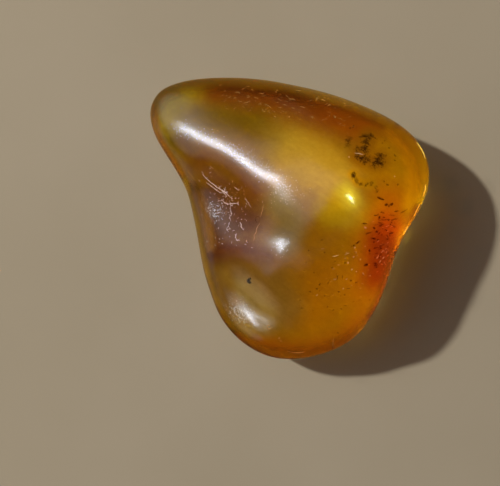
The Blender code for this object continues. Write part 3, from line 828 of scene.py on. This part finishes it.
def hollow_crazing():
    """Pale crazing in the hollow: two long branching cracks, a fainter one, and loose flakes; and painted highlight
    sparkle in the skin.
    """
    b = Bits(13)
    u = b.rnd.uniform

    def crack(points, width, twigs=0):
        """A fine broken line in the skin, with short twigs off it."""
        b.fibre(points, width, -0.002, wander=0.45, step=1.1)
        for _ in range(twigs):
            i = b.rnd.randrange(len(points) - 1)
            t, a, l = u(0.0, 1.0), u(0.0, 2.0 * math.pi), u(0.8, 2.2)
            x = points[i][0] + (points[i + 1][0] - points[i][0]) * t
            y = points[i][1] + (points[i + 1][1] - points[i][1]) * t
            b.fibre([(x, y), (x + l * math.cos(a), y + l * math.sin(a))], width * 0.7, -0.001, wander=0.25, step=0.8)

    crack([(202, 171.5), (204, 176), (207.6, 179.5), (212, 183.4), (215, 185.7), (218, 188), (224.5, 191.4), (228, 195),
           (231.4, 198), (231.7, 200.6)], 0.72, 10)
    crack([(224.5, 191.4), (225.6, 187)], 0.62, 2)
    crack([(222.0, 190.0), (225.0, 192.4), (227.2, 193.0)], 1.1, 4)
    crack([(206.5, 182), (208.4, 184), (212, 187), (216, 189.5), (219, 192), (221.4, 193)], 0.6, 6)
    crack([(218, 188), (220.5, 186.2)], 0.5)
    crack([(221, 190), (224.6, 193.8), (227, 196.5)], 0.6, 3)
    crack([(234.4, 187), (236.8, 188.8), (239, 190)], 0.5)
    crack([(246, 199), (248.6, 203.4), (251, 207)], 0.45)
    crack([(235.7, 234), (235.3, 237.4)], 0.7, 2)
    crack([(219.0, 201.0), (222.0, 200.2), (225.5, 203.5), (229.0, 204.0), (233.5, 203.2), (238.6, 204.0)], 0.7, 9)
    crack([(231.0, 205.0), (230.2, 209.0), (231.8, 213.0), (229.6, 217.0), (230.6, 221.0)], 0.6, 10)
    crack([(228.6, 232.0), (226.4, 229.0), (228.4, 226.6), (229.0, 223.4)], 0.6, 6)
    crack([(226.6, 229.4), (231.0, 229.0)], 0.5, 1)
    crack([(240.6, 222.4), (241.4, 227.0), (243.6, 230.0)], 0.8, 5)
    crack([(236.8, 233.2), (235.4, 237.4), (236.8, 240.2), (240.0, 240.6)], 0.6, 4)
    for x, y, d in ((199.6, 180.7, 1.3), (223, 199.6, 1.2), (227.5, 204, 1.6), (238.5, 203.7, 1.8), (238.6, 198.3, 1.1),
                    (202, 200.6, 1.0), (241.5, 219, 1.3), (218.3, 228, 1.4), (245.3, 244.6, 1.2), (222.3, 243.7, 1.0),
                    (236.2, 245.2, 1.1), (252, 247.5, 1.0), (222.8, 238.5, 0.9), (229.4, 183.8, 1.0), (245.5, 199, 1.0),
                    (262.5, 201.7, 1.0), (210.3, 168.4, 1.1), (210.3, 172.7, 1.1), (214.0, 221.0, 1.0), (206.0, 224.0, 0.9)):
        a = u(0, math.pi)
        l = d * u(0.5, 0.9)
        b.fibre([(x - l * math.cos(a), y - l * math.sin(a)), (x + u(-0.4, 0.4), y + u(-0.4, 0.4)),
                 (x + l * math.cos(a), y + l * math.sin(a))], d * u(0.4, 0.65), -0.001, wander=0.3, step=0.9)
    for _ in range(110):
        x, y = u(204.0, 248.0), u(184.0, 246.0)
        if (x - 206.0) + 0.35 * (y - 186.0) < 3.0:
            continue
        a, l = u(0, math.pi), u(0.4, 1.2)
        b.fibre([(x - l * math.cos(a), y - l * math.sin(a)), (x + l * math.cos(a), y + l * math.sin(a))], u(0.28, 0.5), u(-0.002, 0.02))
    b.make("hollow_cracks", mote_material("crack_pale", (0.34, 0.25, 0.21), (0.62, 0.47, 0.42)))

    g = Bits(17)
    g.fibre([(264, 204), (262.4, 210), (260.3, 216.4)], 0.55, 0.0, wander=0.4, step=1.2)
    g.fibre([(259.4, 223.6), (256.7, 228), (256.3, 231.6), (254.5, 235), (253.6, 241)], 0.6, 0.0, wander=0.4, step=1.2)
    g.fibre([(257.6 + 2.2 * math.cos(t), 219.6 + 3.4 * math.sin(t)) for t in (0.2 * k * math.pi for k in range(11))], 0.4, 0.03, wander=0.15)
    g.fleck(246.7, 241, 1.5, 0.01)
    g.fibre([(210, 166), (213.4, 168.6)], 0.5, 0.0)
    for _ in range(46):
        x, y = g.rnd.gauss(236.0, 15.0), g.rnd.gauss(190.0, 11.0)
        if y < 166.0 + 0.56 * (x - 205.0) or x < 204.0:
            continue
        a, l = g.rnd.uniform(0, math.pi), g.rnd.uniform(0.5, 1.4)
        g.fibre([(x - l * math.cos(a), y - l * math.sin(a)), (x + l * math.cos(a), y + l * math.sin(a))], g.rnd.uniform(0.28, 0.45), 0.005)
    g.make("hollow_edge", mote_material("crack_orange", (0.36, 0.17, 0.05), (0.58, 0.33, 0.14)))

    # painted highlight sparkle: tiny glowing pale flecks in the skin around the highlights and the hollow's sheen
    k = Bits(41)
    u = k.rnd.uniform
    for cx, cy, rx, ry, turn, count in ((215.0, 212.0, 4.5, 4.5, 0.0, 130), (250.0, 161.0, 26.0, 4.2, 0.56, 300), (283.0, 190.0, 9.0, 6.0, 0.5, 150),
                                        (242.0, 313.0, 7.5, 5.5, 0.9, 320), (184.0, 129.0, 9.0, 4.0, 0.5, 90), (281.0, 244.0, 5.0, 5.0, 0.0, 60)):
        for _ in range(count):
            p, q = k.rnd.gauss(0.0, rx), k.rnd.gauss(0.0, ry)
            x, y = cx + p * math.cos(turn) - q * math.sin(turn), cy + p * math.sin(turn) + q * math.cos(turn)
            k.fleck(x, y, u(0.34, 0.72), 0.0, long=u(1.0, 1.6), level=1)
    k.make("skin_sparkle", mote_material("sparkle_pale", (0.40, 0.40, 0.40), (0.85, 0.86, 0.88), 0.25))


def scattered():
    """Single grains: a black speck, stress marks in the clear part, hairs in the brown band and a small bubble; and
    painted glints, glowing, at the glint and along the right edge.
    """
    b = Bits(19)
    u = b.rnd.uniform
    b.fibre([(250.6, 278.6), (248.2, 279.2), (247.4, 281.2), (249.2, 283.0), (251.0, 282.4)], 2.6, 1.2, wander=0.15, ends=0.7, sides=8)
    b.fleck(248.8, 280.8, 3.0, 1.25, long=1.2)
    b.make("black_speck", mote_material("speck_black", (0.004, 0.003, 0.003), (0.020, 0.012, 0.010)))

    d = Bits(23)
    u = d.rnd.uniform
    for pts in ([(329.5, 280.6), (328.2, 283.0), (327.3, 284.8)], [(346.4, 288.5), (350.2, 288.3)], [(337.6, 275.6), (337.0, 279.4)],
                [(342.4, 275.2), (342.5, 278.9)], [(318.5, 285.2), (320.6, 283.4)], [(334.0, 262.0), (336.4, 260.4)],
                [(355.0, 283.0), (357.4, 281.4)], [(324.0, 296.0), (326.0, 294.2)], [(344.0, 306.0), (346.8, 305.0)]):
        d.fibre(pts, u(0.7, 0.95), u(0.7, 1.3), wander=0.2)
    for x, y, r in ((317, 288.7, 1.6), (320, 284, 1.4), (332, 267.7, 1.4), (337.5, 275.7, 1.2), (345, 263, 1.2), (351, 280.6, 1.4),
                    (338.8, 291.8, 1.2), (282, 355, 1.5), (338, 333, 1.6), (360, 300, 1.0), (333, 310, 1.0), (306, 262, 1.0),
                    (300, 300, 1.0), (370, 300, 1.1), (322, 240, 0.9)):
        d.fleck(x, y, r, u(0.7, 1.4), long=u(1.1, 1.8))
    for _ in range(24):
        d.fleck(u(300, 372), u(245, 325), u(0.6, 0.95), u(0.6, 2.2), long=u(1.0, 2.4))
    d.make("dark_grains", mote_material("grain_brown", (0.080, 0.036, 0.010), (0.180, 0.095, 0.028)))

    e = Bits(29)
    u = e.rnd.uniform
    for pts, w in (([(332.6, 256.5), (335.6, 256.2), (338.8, 255.0)], 1.0), ([(345.0, 254.7), (349.0, 253.0)], 1.0),
                   ([(362.5, 272.6), (363.6, 274.0), (364.3, 275.4)], 0.9), ([(351.2, 270.4), (352.6, 268.8)], 0.9),
                   ([(356.0, 253.4), (356.4, 251.4)], 1.0), ([(347.6, 263.8), (348.6, 261.8)], 0.8), ([(360.0, 260.4), (360.9, 258.8)], 0.8),
                   ([(354.2, 248.4), (355.4, 246.8)], 0.8), ([(316.4, 295.8), (317.8, 294.4)], 0.8), ([(343.0, 289.2), (343.8, 288.0)], 0.8)):
        e.fibre(pts, w * 0.75, 0.0, wander=0.25)
    for x, y, r in ((353.8, 257, 1.4), (354.7, 247.6, 1.2), (351.8, 269.5, 1.1), (356.3, 271.5, 1.1), (348, 262.8, 1.0), (343.3, 288.7, 1.1)):
        e.fleck(x, y, r * 0.8, 0.01)
    for _ in range(26):
        x, y, a, l = u(322, 372), u(244, 300), u(-0.9, 0.4), u(0.6, 1.4)
        e.fibre([(x - l * math.cos(a), y - l * math.sin(a)), (x + l * math.cos(a), y + l * math.sin(a))], u(0.3, 0.5), u(0.0, 0.02))
    e.make("stress_flecks", mote_material("stress_gold", (0.36, 0.21, 0.06), (0.72, 0.48, 0.20)))

    f = Bits(31)
    u = f.rnd.uniform
    f.fibre([(235.2, 93.2), (236.6, 92.0), (238.8, 92.2), (240.0, 93.6)], 0.6, 0.0, wander=0.1)
    for pts in ([(243.6, 103.2), (246.6, 102.6), (250.2, 101.0)], [(267.6, 105.6), (269.4, 106.6), (271.2, 108.2)],
                [(246.4, 97.8), (250.0, 96.6)], [(233.4, 98.6), (236.2, 97.6)], [(259.0, 104.0), (261.2, 102.8)],
                [(212.6, 129.2), (216.0, 129.8), (219.4, 131.2)], [(225.0, 134.8), (227.4, 135.6)], [(315.6, 98.6), (319.8, 97.6)],
                [(254.0, 97.4), (258.0, 98.6)], [(296.0, 90.2), (301.0, 90.8)], [(283.0, 104.4), (286.6, 105.6)],
                [(272.4, 110.8), (275.6, 112.2)], [(228.4, 98.0), (231.0, 96.2)], [(262.0, 110.6), (266.0, 112.2)],
                [(300.0, 106.6), (304.6, 107.8)], [(321.0, 99.4), (325.6, 100.8)]):
        f.fibre(pts, u(0.40, 0.60), 0.0, wander=0.25)
    for x, y, r in ((275, 117, 1.5), (289, 117, 1.2), (335, 117.3, 1.6), (329.5, 116, 1.0), (204, 103.2, 1.0), (276, 92, 1.0),
                    (285, 105, 1.0), (290, 100, 1.0), (300, 120, 1.0), (330, 105, 1.0), (335, 108, 1.0), (225, 91, 1.0), (317, 98, 1.1),
                    (268, 106, 1.0), (348, 133.5, 1.0)):
        f.fleck(x, y, r * 0.8, 0.01)
    for _ in range(80):
        t = u(0.0, 1.0)
        x = 205.0 + 150.0 * t
        y = 93.0 + 20.0 * t * t + u(-9.0, 16.0)
        a, l = u(-0.7, 0.7), u(0.6, 2.2)
        f.fibre([(x - l * math.cos(a), y - l * math.sin(a)), (x, y + u(-0.4, 0.4)), (x + l * math.cos(a), y + l * math.sin(a))],
                u(0.26, 0.44), u(0.0, 0.015), wander=0.15)
    f.make("band_flecks", mote_material("hair_amber", (0.24, 0.125, 0.02), (0.52, 0.33, 0.08)))

    g = Bits(37)
    g.fibre([(269 + 2.1 * math.cos(t), 327 + 2.1 * math.sin(t)) for t in (0.2 * k * math.pi for k in range(11))], 0.6, 0.0, wander=0.05)
    g.fibre([(278.2, 338.6), (279.8, 337.2)], 0.7, 0.0)
    g.fleck(281, 341, 1.0, 0.01)
    g.fibre([(287.0, 351.2), (293.0, 352.6), (299.0, 352.8), (305.0, 351.8)], 0.4, 0.0, wander=0.1)
    g.fibre([(333.4, 338.0), (332.8, 343.0), (333.4, 348.0)], 0.6, 0.0, wander=0.3)
    g.make("foot_flecks", mote_material("stress_orange", (0.30, 0.14, 0.03), (0.58, 0.34, 0.12)))

    # painted glint: a glowing pale fleck with rays where the lamp's glint shows in the resin
    h = Bits(43)
    u = h.rnd.uniform
    turn = Matrix.Rotation(math.radians(-52.0), 3, "Z")
    h.clod(SEALED(350.4, 197.8, 0.02), (0.00017, 0.00009, 0.00003), turn, rough=0.5)
    for _ in range(34):
        a = math.radians(52.0) + h.rnd.gauss(0.0, 0.85)
        l = u(2.0, 7.5) * (0.35 + 0.65 * abs(math.cos(a - math.radians(52.0)))) * h.rnd.choice((-1.0, 1.0))
        x, y = 350.4 + u(-1.2, 1.2), 198.0 + u(-1.6, 1.6)
        h.fibre([(x, y), (x + 0.5 * l * math.cos(a) + u(-0.3, 0.3), y + 0.5 * l * math.sin(a) + u(-0.3, 0.3)),
                 (x + l * math.cos(a), y + l * math.sin(a))], u(0.25, 0.6), u(0.0, 0.06), wander=0.1, ends=0.15)
    h.make("painted_glint", mote_material("glint_glow_bright", (0.84, 0.82, 0.34), (1.0, 0.98, 0.66), 0.9))

    # painted glints: glowing golden slivers along the right edge where the lamp's light comes out
    k = Bits(47)
    for pts, w in (([(417.5, 141.5), (421.5, 147.5), (424.2, 153.5), (425.6, 158.5)], 0.6), ([(425.9, 184.5), (425.0, 191.0), (423.2, 196.5)], 0.6),
                   ([(420.0, 203.5), (417.2, 210.0), (413.8, 216.5)], 0.5), ([(408.2, 226.5), (406.2, 230.0), (403.6, 234.6)], 0.95)):
        k.fibre(pts, w, 0.0, wander=0.12, ends=0.1)
    k.make("edge_glints", mote_material("edge_glint_glow", (0.80, 0.50, 0.05), (1.0, 0.74, 0.16), 0.7))


# ===================================================================== stage
def floor():
    bpy.ops.mesh.primitive_plane_add(size=3.0, location=(0, 0, -0.00006))
    ob = bpy.context.object
    ob.name = "floor"
    m = Nodes("floor_paper")
    m.bsdf.inputs["Roughness"].default_value = 0.9
    m.link(m.ramp(m.noise(60.0, 4.0), [(0.3, (0.275, 0.228, 0.158)), (0.7, (0.300, 0.250, 0.178))]), m.bsdf.inputs["Base Color"])
    ob.data.materials.append(m.mat)
    ob.visible_glossy = False
    return ob


def light_gate(pebble):
    """Lets the lamps' light through the amber.

    A stage helper that only shadow rays meet: the amber's shape, a little
    smaller. Where the light goes in it is clear. Where the light comes out
    it is tinted by the place on the floor that the light is bound for, so
    that the floor under the pebble is lit and the shadow beside it is dark.
    """
    me = pebble.data.copy()
    me.name = "light_gate"
    me.materials.clear()
    mid = Vector((0.0006, 0.0002, 0.0036))
    co = np.empty(len(me.vertices) * 3)
    me.vertices.foreach_get("co", co)
    co = np.array(mid) + (co.reshape(-1, 3) - np.array(mid)) * 0.965
    me.vertices.foreach_set("co", co.ravel())
    land = co[:, :2] + co[:, 2:] * np.array((LAMP[0], LAMP[1])) * -1.0
    s = SHAPE.polar(land[:, 0] * 1000.0 * GRID + SHEET_MIDDLE[0], SHEET_MIDDLE[1] - land[:, 1] * 1000.0 * GRID)[0]
    past = np.clip((s - 0.90) / 0.10, 0.0, 1.0)
    beyond = me.attributes.new("beyond", "FLOAT", "POINT")
    beyond.data.foreach_set("value", (past * past * (3.0 - 2.0 * past)).astype(np.float32))
    ob = bpy.data.objects.new("light_gate", me)
    bpy.context.scene.collection.objects.link(ob)
    m = Nodes("light_gate")
    m.t.nodes.remove(m.bsdf)
    clear = m.node("ShaderNodeBsdfTransparent")
    place = m.place()
    xyz = m.node("ShaderNodeSeparateXYZ")
    m.link(place, xyz.inputs[0])
    run = m.node("ShaderNodeVectorMath", operation="SCALE")
    run.inputs[0].default_value = (-LAMP[0], -LAMP[1], 0.0)
    m.link(xyz.outputs["Z"], run.inputs["Scale"])
    bound = m.node("ShaderNodeVectorMath", operation="ADD")
    m.link(place, bound.inputs[0])
    m.link(run.outputs[0], bound.inputs[1])
    bound = bound.outputs[0]
    under = UNDER
    for at, reach, colour in GLOWS:
        under = m.mix(m.spot(bound, floor_under(*at), reach), under, colour)
    beside = (0.09, 0.035, 0.006)
    for at, reach, colour in CAUSTICS:
        beside = m.mix(m.spot(bound, at, reach), beside, colour)
    under = m.mix(m.attribute("beyond"), under, beside)
    back = m.node("ShaderNodeNewGeometry").outputs["Backfacing"]
    m.link(m.mix(back, under, (1.0, 1.0, 1.0)), clear.inputs["Color"])
    m.link(clear.outputs[0], m.out.inputs["Surface"])
    me.materials.append(m.mat)
    ob.visible_camera = ob.visible_diffuse = ob.visible_glossy = False
    ob.visible_transmission = ob.visible_volume_scatter = False
    pebble.visible_shadow = False


def area_light(name, direction, distance, size, power, colour, target=(0.0, 0.0, 0.003), shape="DISK"):
    data = bpy.data.lights.new(name, "AREA")
    data.shape = shape
    data.size = size[0] if isinstance(size, tuple) else size
    if isinstance(size, tuple):
        data.size_y = size[1]
    data.energy = power
    data.color = colour
    ob = bpy.data.objects.new(name, data)
    d = Vector(direction).normalized()
    ob.location = Vector(target) + d * distance
    ob.rotation_euler = (-d).to_track_quat("-Z", "Y").to_euler()
    bpy.context.scene.collection.objects.link(ob)
    return ob


def lights():
    e = math.radians(45.0)
    way = (LAMP[0] * math.cos(e), LAMP[1] * math.cos(e), math.sin(e))
    key = area_light("key", way, 0.40, 0.018, 1.9, (1.0, 0.96, 0.90))
    key.visible_glossy = key.visible_transmission = False
    gloss = area_light("key_gloss", way, 0.40, 0.018, 0.52, (0.86, 0.94, 1.08))
    halo = area_light("key_halo", way, 0.40, 0.200, 0.13, (0.92, 0.97, 1.04))
    gloss.visible_diffuse = halo.visible_diffuse = False
    x, y = floor_under(*GLINT)
    spark = area_light("glint", (0, 0, 1), 0.0, (0.00012, 0.00030), 0.8e-6, (0.72, 0.98, 1.0), shape="ELLIPSE")
    spark.location = (*to_world((x / GRID, y / GRID, 0.0))[:2], 0.00002)
    spark.rotation_euler = (math.pi, 0.0, math.radians(35.0))
    spark.visible_glossy = spark.visible_diffuse = False
    world = bpy.data.worlds.new("studio")
    bpy.context.scene.world = world
    world.use_nodes = True
    t = world.node_tree
    bg = t.nodes["Background"]
    bg.inputs["Strength"].default_value = 1.0
    way = t.nodes.new("ShaderNodeTexCoord").outputs["Generated"]

    def glow(direction, inner, outer):
        """A round soft light on the sky: full inside `inner` degrees, gone at `outer`."""
        dot = t.nodes.new("ShaderNodeVectorMath")
        dot.operation = "DOT_PRODUCT"
        dot.inputs[1].default_value = Vector(direction).normalized()
        t.links.new(way, dot.inputs[0])
        f = t.nodes.new("ShaderNodeMapRange")
        f.interpolation_type = "SMOOTHERSTEP"
        f.inputs["From Min"].default_value = math.cos(math.radians(outer))
        f.inputs["From Max"].default_value = math.cos(math.radians(inner))
        t.links.new(dot.outputs["Value"], f.inputs["Value"])
        return f.outputs["Result"]

    def lit(fac, a, b):
        mix = t.nodes.new("ShaderNodeMix")
        mix.data_type = "RGBA"
        t.links.new(fac, mix.inputs["Factor"])
        for sock, v in ((mix.inputs["A"], a), (mix.inputs["B"], b)):
            if isinstance(v, tuple):
                sock.default_value = (*v, 1.0)
            else:
                t.links.new(v, sock)
        return mix.outputs["Result"]

    def side(direction, none, full):
        """1 on the side of the sky that `direction` points to, 0 on the other."""
        dot = t.nodes.new("ShaderNodeVectorMath")
        dot.operation = "DOT_PRODUCT"
        dot.inputs[1].default_value = Vector(direction).normalized()
        t.links.new(way, dot.inputs[0])
        f = t.nodes.new("ShaderNodeMapRange")
        f.interpolation_type = "SMOOTHSTEP"
        f.inputs["From Min"].default_value = none
        f.inputs["From Max"].default_value = full
        t.links.new(dot.outputs["Value"], f.inputs["Value"])
        return f.outputs["Result"]

    dim = (0.010, 0.010, 0.010)
    sky = lit(glow((-0.88, -0.08, 0.74), 4.0, 20.0), (0.014, 0.014, 0.013), (0.82, 0.83, 0.88))
    # the sunlit table, seen in the steep rim on the side towards the lamp
    sky = lit(glow((-0.62, 0.42, -0.66), 30.0, 78.0), sky, (0.36, 0.25, 0.09))
    sky = lit(glow((-0.770, 0.480, 0.423), 9.0, 25.0), sky, (0.86, 0.88, 0.85))
    sky = lit(glow((-0.89, 0.33, 0.31), 3.0, 14.0), sky, (1.50, 1.50, 1.58))
    sky = lit(glow((-0.435, 0.260, 0.870), 12.0, 38.0), sky, (0.98, 0.99, 1.04))
    sky = lit(side((-0.5, 0.87, 0.0), -0.06, 0.16), dim, sky)
    sky = lit(glow((-0.70, -0.70, -0.08), 8.0, 28.0), sky, (0.54, 0.51, 0.49))
    sky = lit(glow((-0.97, -0.03, -0.24), 5.0, 22.0), sky, (0.50, 0.46, 0.42))
    sky = lit(glow((-0.93, 0.34, -0.10), 8.0, 26.0), sky, (0.45, 0.36, 0.16))
    sky = lit(glow((-0.50, 0.85, -0.15), 6.0, 24.0), sky, (0.33, 0.26, 0.09))
    t.links.new(sky, bg.inputs["Color"])


def camera():
    data = bpy.data.cameras.new("camera")
    data.sensor_width = 36.0
    data.sensor_fit = "HORIZONTAL"
    data.lens = 36.0 * (EYE_HEIGHT - EYE_PLANE) / (500.0 / GRID)
    data.clip_start, data.clip_end = 0.005, 20.0
    ob = bpy.data.objects.new("camera", data)
    x, y = (EYE_GRID - SHEET_MIDDLE) / GRID / 1000.0
    ob.location = (x, -y, EYE_HEIGHT / 1000.0)
    ob.rotation_euler = (0.0, 0.0, 0.0)
    bpy.context.scene.collection.objects.link(ob)
    bpy.context.scene.camera = ob


camera()
lights()
floor()
debris_cluster()
stain()
hollow_crazing()
scattered()
light_gate(build_amber())
bpy.context.scene.view_settings.view_transform = "Standard"
